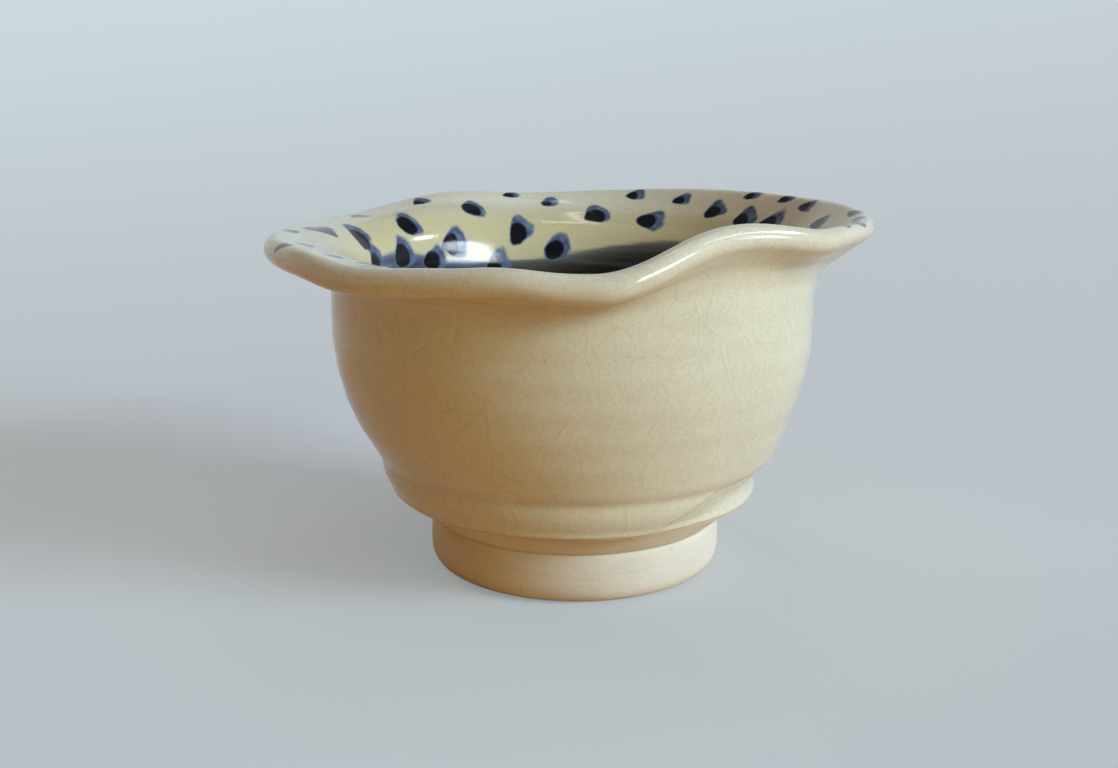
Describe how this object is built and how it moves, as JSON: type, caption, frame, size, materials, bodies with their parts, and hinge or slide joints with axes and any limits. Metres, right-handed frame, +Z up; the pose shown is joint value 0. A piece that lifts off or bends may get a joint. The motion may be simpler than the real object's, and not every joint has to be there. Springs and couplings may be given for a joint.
{
  "type": "sake cup",
  "caption": "Small thrown stoneware sake cup with a folded, pinched lip, a turned foot ring, a clear crackled glaze and cobalt dabs inside.",
  "frame": {"origin": "on the resting plane, under the middle of the cup's outline seen from above", "axes": "+Z up out of the mouth, -Y towards the side with the low front lip, +X towards the right of it"},
  "size_m": [0.0644, 0.0656, 0.0401],
  "materials": {
    "bare_clay": "matte",
    "clear_glaze": "glossy, finely crackled",
    "cobalt_wash": "glossy",
    "cobalt": "glossy"
  },
  "bodies": {
    "root": {"foot_ring": "bare_clay", "clay_body": "bare_clay", "outer_glaze": "clear_glaze", "inner_glaze": "clear_glaze", "well_band": "cobalt_wash", "cobalt_dab_01": "cobalt", "cobalt_dab_02": "cobalt", "cobalt_dab_03": "cobalt", "cobalt_dab_04": "cobalt", "cobalt_dab_05": "cobalt", "cobalt_dab_06": "cobalt", "cobalt_dab_07": "cobalt", "cobalt_dab_08": "cobalt", "cobalt_dab_09": "cobalt", "cobalt_dab_10": "cobalt", "cobalt_dab_11": "cobalt", "cobalt_dab_12": "cobalt", "cobalt_dab_13": "cobalt", "cobalt_dab_14": "cobalt", "cobalt_dab_15": "cobalt", "cobalt_dab_16": "cobalt", "cobalt_dab_17": "cobalt", "cobalt_dab_18": "cobalt", "cobalt_dab_19": "cobalt", "cobalt_dab_20": "cobalt", "cobalt_dab_21": "cobalt", "cobalt_dab_22": "cobalt", "cobalt_dab_23": "cobalt", "cobalt_dab_24": "cobalt", "cobalt_dab_25": "cobalt", "cobalt_dab_26": "cobalt", "cobalt_dab_27": "cobalt", "cobalt_dab_28": "cobalt", "cobalt_dab_29": "cobalt", "cobalt_dab_30": "cobalt", "cobalt_dab_31": "cobalt", "cobalt_dab_32": "cobalt", "cobalt_dab_33": "cobalt", "cobalt_dab_34": "cobalt", "cobalt_dab_35": "cobalt", "cobalt_dab_36": "cobalt", "cobalt_dab_37": "cobalt", "cobalt_dab_38": "cobalt", "cobalt_dab_39": "cobalt", "cobalt_dab_40": "cobalt", "cobalt_dab_41": "cobalt", "cobalt_dab_42": "cobalt", "cobalt_dab_43": "cobalt", "cobalt_dab_44": "cobalt", "cobalt_dab_45": "cobalt", "cobalt_dab_46": "cobalt", "cobalt_dab_47": "cobalt", "cobalt_dab_48": "cobalt", "cobalt_dab_49": "cobalt", "cobalt_dab_50": "cobalt"}
  },
  "joints": []
}
